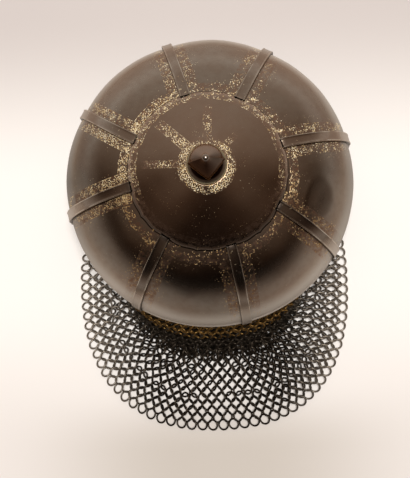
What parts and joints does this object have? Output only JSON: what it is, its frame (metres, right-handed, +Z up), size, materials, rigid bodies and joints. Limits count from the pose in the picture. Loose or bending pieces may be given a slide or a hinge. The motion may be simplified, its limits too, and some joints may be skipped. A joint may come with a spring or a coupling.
{
  "type": "indo-persian helmet",
  "caption": "Low round ribbed steel helmet with a scalloped crown plate, a small faceted finial and a mail neck curtain lying spread behind it.",
  "frame": {"origin": "middle of the helmet's footprint, on the surface it stands on", "axes": "+Z up along the skull's axis, -Y to the back where the mail lies spread, +Y to the open face side, +X to the wearer's right"},
  "size_m": [0.2028, 0.2782, 0.1313],
  "materials": {
    "russet_steel": "russet-brown patinated steel with worn gold damascening",
    "dark_steel": "dark polished steel",
    "mail_brass": "tarnished brass mail",
    "mail_steel": "blackened steel mail"
  },
  "bodies": {
    "root": {"skull": "russet_steel", "crown_plate": "russet_steel", "rib_1": "russet_steel", "rib_2": "russet_steel", "rib_3": "russet_steel", "rib_4": "russet_steel", "rib_5": "russet_steel", "rib_6": "russet_steel", "rib_7": "russet_steel", "rib_8": "russet_steel", "finial": "dark_steel", "aventail_border": "mail_brass", "aventail": "mail_steel"}
  },
  "joints": []
}
